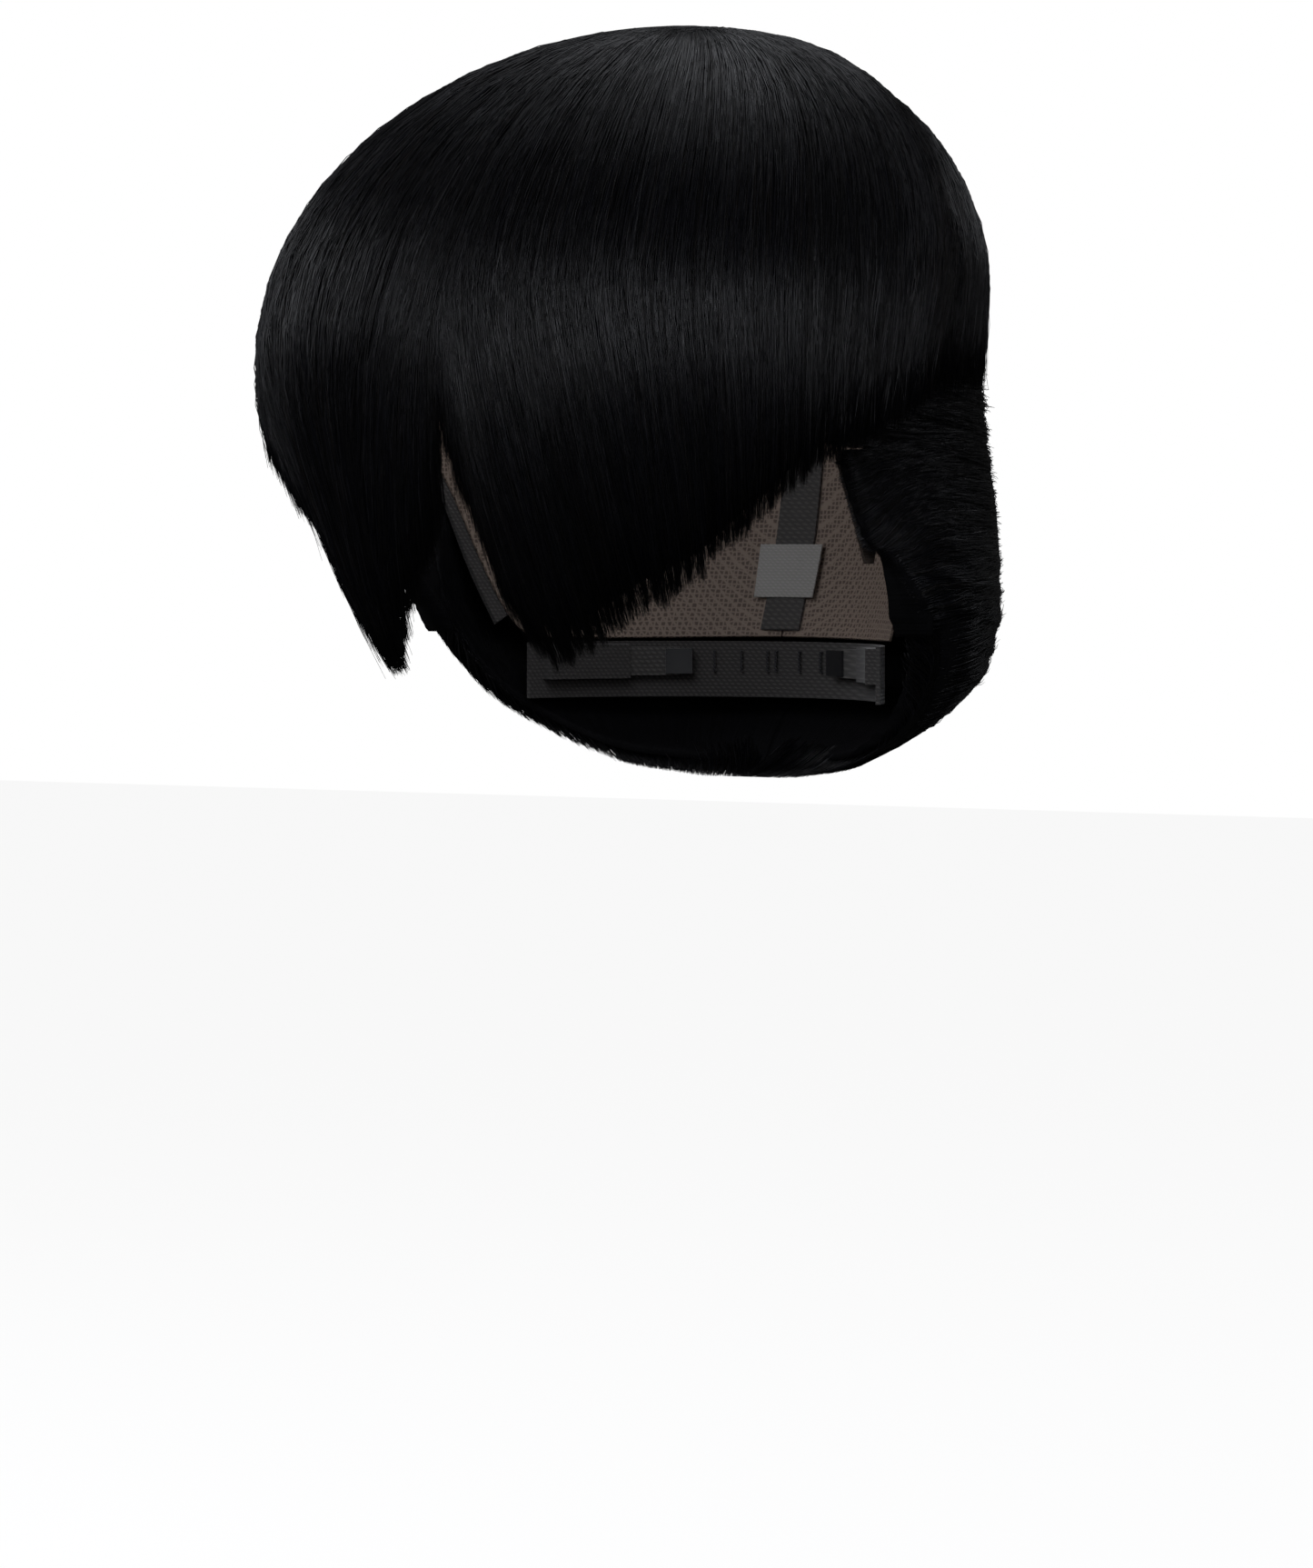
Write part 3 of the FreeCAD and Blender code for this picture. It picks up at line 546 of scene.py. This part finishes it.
def fringe_mass(side, cut, seed, material):
    def point(u, v, outer):
        phi, beta = fringe_place(u, between(0.0, 0.965, v), cut)
        place = BOWL.point(phi, beta)
        offset = fringe_offset(phi, beta, side, seed) - FRINGE_MASS_SINK
        if not outer:
            offset = -hair_depth(place[..., 2], follow(cut, np.degrees(phi)))
            offset = np.minimum(offset, -RIM_DEPTH * ease((phi + 0.5) / 0.3))
        place = BOWL.point(phi, beta, offset)
        return place if side == "left" else mirror(place)

    return mass_piece("fringe_%s_mass" % side, point, 181, 61, material)


def back_mass(side, seed, material):
    def point(u, v, outer):
        phi, beta = back_place(u, between(0.0, 0.975, v))
        place = BOWL.point(phi, beta)
        offset = back_offset(phi, beta, seed) - BACK_MASS_SINK
        if not outer:
            offset = -BACK_STEP - np.maximum(hair_depth(place[..., 2], RIM_Z), RIM_DEPTH)
        place = BOWL.point(phi, beta, offset)
        return place if side == "left" else mirror(place)

    return mass_piece("crown_back_%s_mass" % side, point, 121, 49, material)


def root_angles(random, count):
    """Angles down from the whorl where fibres start, so that the hair stays as dense as it widens."""
    share = random.uniform(0, 1, count)
    in_whorl = WHORL_ANGLE * share / WHORL_SHARE
    further = np.maximum(share - WHORL_SHARE, 0.0) / (1 - WHORL_SHARE)
    return np.where(share < WHORL_SHARE, in_whorl, between(ROOTS_FROM, ROOTS_TO, further ** 1.1))


def fibre_depths(random, start, steps, flare):
    """Depth of each fibre under the surface at each step: up out of the mass, then along its layer."""
    count = len(start)
    t = np.linspace(0, 1, steps)[None, :]
    layer = -2.0 * random.uniform(0, 1, (count, 1)) ** 1.5
    below = ease((start - WHORL_ANGLE) / 0.3)
    rise = -between(WHORL_DIP, 3.5, below) * (1 - ease(t / between(0.09, 0.14, below)))
    wander = 0.25 * np.sin(t * random.uniform(3, 9, (count, 1)) + random.uniform(0, 6.3, (count, 1)))
    ends = flare * random.normal(0, 1, (count, 1)) * ease((t - 0.75) / 0.25)
    return layer + rise + wander + ends


def gather(phi, clump, pull, t):
    """Moves fibres towards the middle of their clump on the way down."""
    middle = (np.floor(phi / clump) + 0.5) * clump
    return phi + (middle - phi) * pull * ease((t - 0.35) / 0.65)


def fringe_fibres(side, cut, seed, materials):
    random = np.random.default_rng(seed)
    count, steps = FRINGE_FIBRES, LONG_STEPS
    t = np.linspace(0, 1, steps)[None, :]
    low, high = math.radians(-89.6), RIDGE_AT_RIM
    rim_phi = random.uniform(low, high, (count, 1))
    reach = follow(cut, np.degrees(rim_phi))
    ragged = random.gamma(1.5, 1.6, (count, 1)) + 1.2 * ripple(rim_phi, seed + 3, 60, 240)
    ragged -= RIM_RAGGED * random.uniform(0, 1, (count, 1)) ** 2 * ease((rim_phi + 0.7) / 0.6)
    short = random.uniform(0, 1, (count, 1)) < 0.10
    end_z = reach + np.where(short, random.uniform(2, 14, (count, 1)), ragged - 2.0)
    end = BOWL.beta_at(rim_phi, end_z)
    start = np.minimum(root_angles(random, count)[:, None], end - 0.25)
    beta = between(start, end, t)
    crossing = ridge_angle(beta) - RIDGE_AT_RIM
    fan = ease((rim_phi - low) / (high - low)) ** 1.5
    lean = np.radians(follow(LEAN_LEFT if side == "left" else LEAN_RIGHT, np.degrees(rim_phi)))
    drop = np.clip((beta - LEAN_START) / np.maximum(end - LEAN_START, 0.1), 0, 1)
    phi = rim_phi + crossing * fan - lean * (1 - drop ** 1.3)
    phi = gather(phi, CLUMP_WIDTH, random.uniform(0.1, 0.6, (count, 1)), t)
    phi += 0.006 * random.normal(0, 1, (count, 1)) * t
    phi += 0.004 * ripple(t * 6 + rim_phi * 40, seed + 4, 1, 4, 3)
    phi = np.maximum(phi, -math.pi / 2 + 0.002)
    offset = fringe_offset(phi, beta, side, seed) + fibre_depths(random, start, steps, 0.7)
    paths = BOWL.point(phi, beta, offset)
    if side == "right":
        paths = mirror(paths)
    widths = FIBRE_WIDTH * random.uniform(0.7, 1.35, count)
    return split_pieces("fringe_%s_fibres" % side, paths, widths, seed, materials)


def back_fibres(side, seed, materials):
    random = np.random.default_rng(seed)
    count, steps = BACK_FIBRES, LONG_STEPS
    t = np.linspace(0, 1, steps)[None, :]
    u = random.uniform(0, 1, (count, 1))
    rim_phi = between(RIDGE_AT_RIM, math.pi / 2, u)
    ragged = random.gamma(1.5, 1.6, (count, 1)) + 1.2 * ripple(rim_phi, seed + 3, 60, 240)
    end_z = RIM_Z - 1.5 + ragged - 1.6 * RIM_RAGGED * random.uniform(0, 1, (count, 1)) ** 1.5
    end = BOWL.beta_at(rim_phi, end_z)
    start = np.minimum(root_angles(random, count)[:, None], end - 0.25)
    beta = between(start, end, t)
    phi = rim_phi + (ridge_angle(beta) - RIDGE_AT_RIM) * (1 - ease(u * 1.2))
    phi = gather(phi, CLUMP_WIDTH, random.uniform(0.1, 0.5, (count, 1)), t)
    phi += 0.006 * random.normal(0, 1, (count, 1)) * t
    offset = back_offset(phi, beta, seed) + fibre_depths(random, start, steps, 0.6)
    paths = BOWL.point(phi, beta, offset)
    if side == "right":
        paths = mirror(paths)
    widths = FIBRE_WIDTH * random.uniform(0.7, 1.35, count)
    return split_pieces("crown_back_%s_fibres" % side, paths, widths, seed, materials)


def whorl_fibres(seed, materials):
    """Short fibres that turn out of the whorl and cover the middle of it."""
    random = np.random.default_rng(seed)
    t = np.linspace(0, 1, LONG_STEPS)[None, :]
    turn = random.uniform(-math.pi, math.pi, (WHORL_FIBRES, 1))
    start = WHORL_ANGLE * random.uniform(0, 0.8, (WHORL_FIBRES, 1))
    beta = between(start, start + random.uniform(0.15, 0.40, (WHORL_FIBRES, 1)), t)
    phi = turn + 0.9 * (1 - ease(t / 0.7))
    depth = -1.6 * random.uniform(0, 1, (WHORL_FIBRES, 1)) - WHORL_DIP * np.exp(-(beta / 0.06) ** 2)
    sink = -1.6 * ease((t - 0.7) / 0.3)
    paths = BOWL.point(phi, beta, FULLNESS + 0.2 + depth + sink)
    widths = FIBRE_WIDTH * random.uniform(0.7, 1.2, WHORL_FIBRES)
    return fibre_piece("whorl_fibres", paths, widths, seed, materials)


def split_pieces(name, paths, widths, seed, materials):
    """Makes numbered pieces of at most FIBRES_PER_PIECE fibres each."""
    pieces = []
    for index, first in enumerate(range(0, len(paths), FIBRES_PER_PIECE)):
        part = slice(first, first + FIBRES_PER_PIECE)
        label = "%s_%d" % (name, index + 1)
        pieces.append(fibre_piece(label, paths[part], widths[part], seed + index, materials))
    return pieces


# ---------------------------------------------------------------- under layer

def under_scale(z):
    """Width of the under layer at a height, as a share of its widest."""
    upper = between(1.0, UNDER_TOP_SCALE, ease((z - UNDER_WIDEST_Z) / (UNDER_TOP_Z - UNDER_WIDEST_Z)))
    drop = np.clip((UNDER_WIDEST_Z - z) / UNDER_DEPTH_BELOW, 0.0, 1.0)
    return np.where(z > UNDER_WIDEST_Z, upper, np.sqrt(1 - drop ** 2))


def under_point(phi, z, offset=0.0):
    across = np.abs(np.cos(phi)) / UNDER_HALF_WIDTH
    along = np.abs(np.sin(phi)) / UNDER_BACK
    full = (across ** UNDER_PLAN_POWER + along ** UNDER_PLAN_POWER) ** (-1 / UNDER_PLAN_POWER)
    close = HEAD.radius(phi, z, 2.6)
    sweep = ease((phi - SWEEP_START) / (SWEEP_END - SWEEP_START))
    radius = between(close, full * under_scale(z), sweep) + offset
    centre = UNDER_SHIFT_BACK * np.maximum(UNDER_WIDEST_Z - z, 0.0) / UNDER_DEPTH_BELOW
    return np.stack([radius * np.cos(phi), centre + radius * np.sin(phi), z + 0.0 * phi], axis=-1)


def combed_slope(phi, z):
    """Slope of combed fibres: up from the ear tab, near level at the side, down at the back."""
    from_tab = math.radians(36) * ease((math.radians(13) - phi) / math.radians(20)) * ease((26 - z) / 26)
    low = between(math.radians(-3), math.radians(13), ease((8 - z) / 50))
    return between(from_tab + low, math.radians(-78), ease((phi - math.radians(40)) / math.radians(34)))


def comb(phi, z, length, steps):
    """Runs fibres from their roots along the combed slope; returns direction and height at every step."""
    stride = length / (steps - 1)
    trail_phi, trail_z = [phi], [z]
    for _ in range(steps - 1):
        slope = combed_slope(phi, z)
        phi = phi + stride * np.cos(slope) / (UNDER_HALF_WIDTH * np.maximum(under_scale(z), 0.4))
        z = z + stride * np.sin(slope)
        trail_phi.append(phi)
        trail_z.append(z)
    return np.stack(trail_phi, axis=1), np.stack(trail_z, axis=1)


def under_layer(random, phi, z, lift, flare, scatter=1.0):
    """Places combed fibres on the under layer, rising out of it and with ends that stand off."""
    count, steps = phi.shape
    t = np.linspace(0, 1, steps)[None, :]
    layer = lift - 1.6 * random.uniform(0, 1, (count, 1)) ** 1.4
    rise = -2.6 * (1 - ease(t / 0.25))
    ends = flare * np.abs(random.normal(0, 1, (count, 1))) * ease((t - 0.55) / 0.45)
    locks = 0.45 * ripple(z * 0.9 + phi * 9, 71, 0.5, 2.4, 5)
    z = z + scatter * (random.normal(0, 1, (count, 1)) * t + 0.4 * ripple(t * 5 + z * 0.4, 72, 0.6, 2, 3))
    fuller = 2.4 * np.exp(-((z + 46) / 14) ** 2) * ease((phi - 0.2) / 0.3)
    return under_point(phi, np.maximum(z, UNDER_LOWEST_Z), layer + rise + ends + locks + fuller)


def side_fibres(random):
    """Hair behind the ear, swept back, with ends that stand off as a soft fringe past the ear."""
    phi = np.radians(6 + 62 * random.beta(1.0, 1.35, SIDE_FIBRES))
    cut = follow(UNDER_CUT, np.degrees(phi))
    z = between(cut + 1.5, 43.0, random.uniform(0, 1, SIDE_FIBRES) ** 0.95)
    length = random.uniform(22, 42, SIDE_FIBRES)
    phi, z = comb(phi, z, length, SHORT_STEPS)
    inside = (z > follow(UNDER_CUT, np.degrees(phi)) + 1.0).all(axis=1)
    return under_layer(random, phi[inside], z[inside], 0.6, 0.7)


def nape_fibres(random):
    """Hair of the back of the neck, combed down and in to the middle."""
    end_phi = np.radians(random.uniform(46, 90, (NAPE_FIBRES, 1)))
    t = np.linspace(0, 1, SHORT_STEPS)[None, :]
    cut = np.maximum(follow(UNDER_CUT, np.degrees(end_phi)), UNDER_LOWEST_Z)
    cut = cut + random.gamma(1.4, 1.0, (NAPE_FIBRES, 1))
    top = between(cut + 18, 43.0, random.uniform(0, 1, (NAPE_FIBRES, 1)) ** 0.7)
    sweep = np.radians(10.0) * (math.pi / 2 - end_phi) / math.radians(44)
    phi = end_phi - sweep * (1 - t) ** 1.5
    z = between(top, cut, t)
    return under_layer(random, phi, z, 0.4, 0.3, 0.1)


def arch_fibres(random):
    """Hair over the ear, above the fold of the ear tab."""
    phi = np.radians(random.uniform(-21, 10, ARCH_FIBRES))
    z = random.uniform(ARCH_BOTTOM_Z - 1, 42.0, ARCH_FIBRES)
    return under_layer(random, *comb(phi, z, random.uniform(16, 30, ARCH_FIBRES), SHORT_STEPS), 0.5, 0.6)


def lining_fibres(random):
    """Short hair seen from inside, between the nape band and the cut."""
    phi = np.radians(random.uniform(12, 90, (LINING_FIBRES, 1)))
    t = np.linspace(0, 1, SHORT_STEPS)[None, :]
    cut = follow(UNDER_CUT, np.degrees(phi)) + random.gamma(1.4, 1.2, (LINING_FIBRES, 1))
    top = cut + random.uniform(8, 30, (LINING_FIBRES, 1))
    z = np.maximum(between(top, cut, t), UNDER_LOWEST_Z)
    phi = phi - 0.10 * (1 - t) + 0.01 * random.normal(0, 1, (LINING_FIBRES, 1)) * t
    depth = between(UNDER_THICKNESS, UNDER_AT_CUT, ease(t)) + 0.6 * random.uniform(-1, 1, (LINING_FIBRES, 1))
    return under_point(phi, z, -depth)


def lock_cut_z(phi):
    """Height of the lower edge of the hair on the ear tab."""
    return follow(LOCK_CUT, LOCK_RADIUS * np.sin(phi))


def lock_fibres(random):
    """Hair rooted on the ear tab: a dense seam of roots along its front edge, more roots behind it."""
    seam = random.uniform(0, 1, LOCK_FIBRES) < 0.45
    phi = np.where(seam, random.uniform(-20.5, 5, LOCK_FIBRES), random.uniform(-14, 9, LOCK_FIBRES))
    phi = np.radians(phi)
    low = lock_cut_z(phi) + 0.6
    rise = np.where(seam, random.gamma(1.2, 0.9, LOCK_FIBRES), random.uniform(0, 1, LOCK_FIBRES) * 24)
    z = np.minimum(low + rise, LOCK_TOP_Z)
    length = random.uniform(16, 34, LOCK_FIBRES)
    return under_layer(random, *comb(phi, z, length, SHORT_STEPS), 1.0, 0.9)


def under_mass(name, side, first, last, top_z, cut_z, material):
    """Closed mass under the fibres from the direction first to last, ending short of the cut."""
    def point(u, v, outer):
        phi = between(first, last, u)
        z = between(top_z, cut_z(phi) + MASS_ABOVE_CUT, v)
        offset = -UNDER_MASS_SINK + 0.45 * ripple(z * 0.9 + phi * 9, 71, 0.5, 2.4, 5)
        outside = under_point(phi, z, offset)
        centre = np.stack([0 * z, UNDER_SHIFT_BACK * np.maximum(UNDER_WIDEST_Z - z, 0.0)
                           / UNDER_DEPTH_BELOW], axis=-1)
        reach = np.hypot(*np.moveaxis(outside[..., :2] - centre, -1, 0))
        inner = np.maximum(HEAD.radius(phi, z, UNDER_CLEARANCE), reach - UNDER_THICKNESS)
        inner = np.minimum(inner, reach - 0.6)
        inside = np.stack([inner * np.cos(phi), centre[..., 1] + inner * np.sin(phi), z], axis=-1)
        place = outside if outer else inside
        return place if side == "left" else mirror(place)

    return mass_piece(name, point, 61, 41, material)


def under_hair(side, seed, fibres, mass):
    random = np.random.default_rng(seed)
    groups = (("side", side_fibres), ("nape", nape_fibres), ("lining", lining_fibres),
              ("ear_arch", arch_fibres), ("ear_lock", lock_fibres))
    for name, make in groups:
        paths = make(random)
        if side == "right":
            paths = mirror(paths)
        widths = FIBRE_WIDTH * random.uniform(0.6, 1.25, len(paths))
        for piece in split_pieces("%s_%s_fibres" % (name, side), paths, widths, seed, fibres):
            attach(piece, "ear_tab_" + side if name == "ear_lock" else "cap")

    def nape_cut(phi):
        return follow(UNDER_CUT, np.degrees(phi))

    back = under_mass("nape_%s_mass" % side, side, LOCK_END + 0.01, math.pi / 2 - 0.002,
                      UNDER_TOP_Z, nape_cut, mass)
    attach(back, "cap")
    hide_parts("side_hair_" + side, "nape_hair_" + side)
    arch = under_mass("ear_arch_%s_mass" % side, side, SWEEP_START, LOCK_END, UNDER_TOP_Z,
                      lambda phi: ARCH_BOTTOM_Z - MASS_ABOVE_CUT + 0 * phi, mass)
    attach(arch, "cap")
    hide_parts("ear_arch_hair_" + side)
    lock = under_mass("ear_lock_%s_mass" % side, side, math.radians(-18.5), LOCK_END, LOCK_TOP_Z,
                      lambda phi: lock_cut_z(phi) - 2.5, mass)
    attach(lock, "ear_tab_" + side)
    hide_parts("temple_hair_" + side)


def main():
    fibres = fibre_materials()
    mass = streaked_hair()
    dress_cap()
    top = whorl_mass(mass)
    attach(top, "cap")
    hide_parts("crown_whorl")
    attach(whorl_fibres(7, fibres), "cap")
    for index, (side, cut) in enumerate((("left", FRINGE_CUT_LEFT), ("right", FRINGE_CUT_RIGHT))):
        seed = 100 * (index + 1)
        base = fringe_mass(side, cut, seed, mass)
        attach(base, "cap")
        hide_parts("fringe_" + side)
        for piece in fringe_fibres(side, cut, seed, fibres):
            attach(piece, "cap")
        base = back_mass(side, seed + 50, mass)
        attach(base, "cap")
        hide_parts("crown_back_" + side)
        for piece in back_fibres(side, seed + 50, fibres):
            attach(piece, "cap")
        under_hair(side, seed + 70, fibres, mass)


def set_stage():
    """Pale floor well below the wig, which throws no light on it."""
    floor_z = cad_box[0][2] - FLOOR_DROP
    mesh = bpy.data.meshes.new("floor")
    half = FLOOR_HALF
    mesh.from_pydata([(-half, -half, floor_z), (half, -half, floor_z), (half, half, floor_z),
                      (-half, half, floor_z)], [], [(0, 1, 2, 3)])
    floor = bpy.data.objects.new("floor", mesh)
    bpy.context.scene.collection.objects.link(floor)
    material, shader = new_material("floor_paint", (0.12, 0.12, 0.12), 0.9, 0.1)
    shader.inputs["Emission Color"].default_value = (1.0, 1.0, 1.0, 1.0)
    shader.inputs["Emission Strength"].default_value = FLOOR_GLOW
    mesh.materials.append(material)
    floor.visible_diffuse = False
    floor.visible_glossy = False


def set_world():
    """Pale surroundings for the camera, dimmer ones for light, so that black fibres stay black."""
    world = bpy.data.worlds.new("studio")
    bpy.context.scene.world = world
    world.use_nodes = True
    nodes, links = world.node_tree.nodes, world.node_tree.links
    background = nodes["Background"]
    path = nodes.new("ShaderNodeLightPath")
    strength = nodes.new("ShaderNodeMapRange")
    strength.inputs["To Min"].default_value = WORLD_LIGHT
    strength.inputs["To Max"].default_value = WORLD_SEEN
    background.inputs["Color"].default_value = (1.0, 1.0, 1.0, 1.0)
    links.new(path.outputs["Is Camera Ray"], strength.inputs["Value"])
    links.new(strength.outputs["Result"], background.inputs["Strength"])


def add_softbox(name, azimuth, elevation, distance, width, height, power):
    """Soft light that faces the middle of the wig; azimuth 0 is straight ahead of the face."""
    light = bpy.data.lights.new(name, "AREA")
    light.shape = "RECTANGLE"
    light.size, light.size_y = width, height
    light.energy = power
    light.color = LIGHT_COLOUR
    lamp = bpy.data.objects.new(name, light)
    bpy.context.scene.collection.objects.link(lamp)
    az, el = math.radians(azimuth), math.radians(elevation)
    aim = np.array([math.sin(az) * math.cos(el), -math.cos(az) * math.cos(el), math.sin(el)])
    lamp.location = np.array(LIGHT_AIM) + distance * aim
    lamp.rotation_euler = (math.pi / 2 - el, 0.0, az)
    return lamp


def set_lights():
    for softbox in SOFTBOXES:
        add_softbox(*softbox)
    inside = add_softbox("inside_fill", 0.0, -10.0, 0.03, 0.08, 0.06, 0.05)
    inside.rotation_euler = (math.radians(80), 0.0, 0.0)
    inside.visible_camera = False


def set_camera():
    azimuth = math.radians(CAMERA_AZIMUTH)
    lens_data = bpy.data.cameras.new("camera")
    lens_data.lens = CAMERA_LENS
    camera = bpy.data.objects.new("camera", lens_data)
    bpy.context.scene.collection.objects.link(camera)
    right = np.array([math.cos(azimuth), math.sin(azimuth), 0.0])
    back = np.array([math.sin(azimuth), -math.cos(azimuth), 0.0])
    camera.location = back * CAMERA_DISTANCE + right * CAMERA_ASIDE
    camera.rotation_euler = (math.pi / 2 - math.atan2(CAMERA_AIM_DROP, CAMERA_DISTANCE), 0.0, azimuth)
    bpy.context.scene.camera = camera


set_camera()
set_world()
set_lights()
set_stage()
main()
bpy.context.scene.view_settings.view_transform = "Standard"
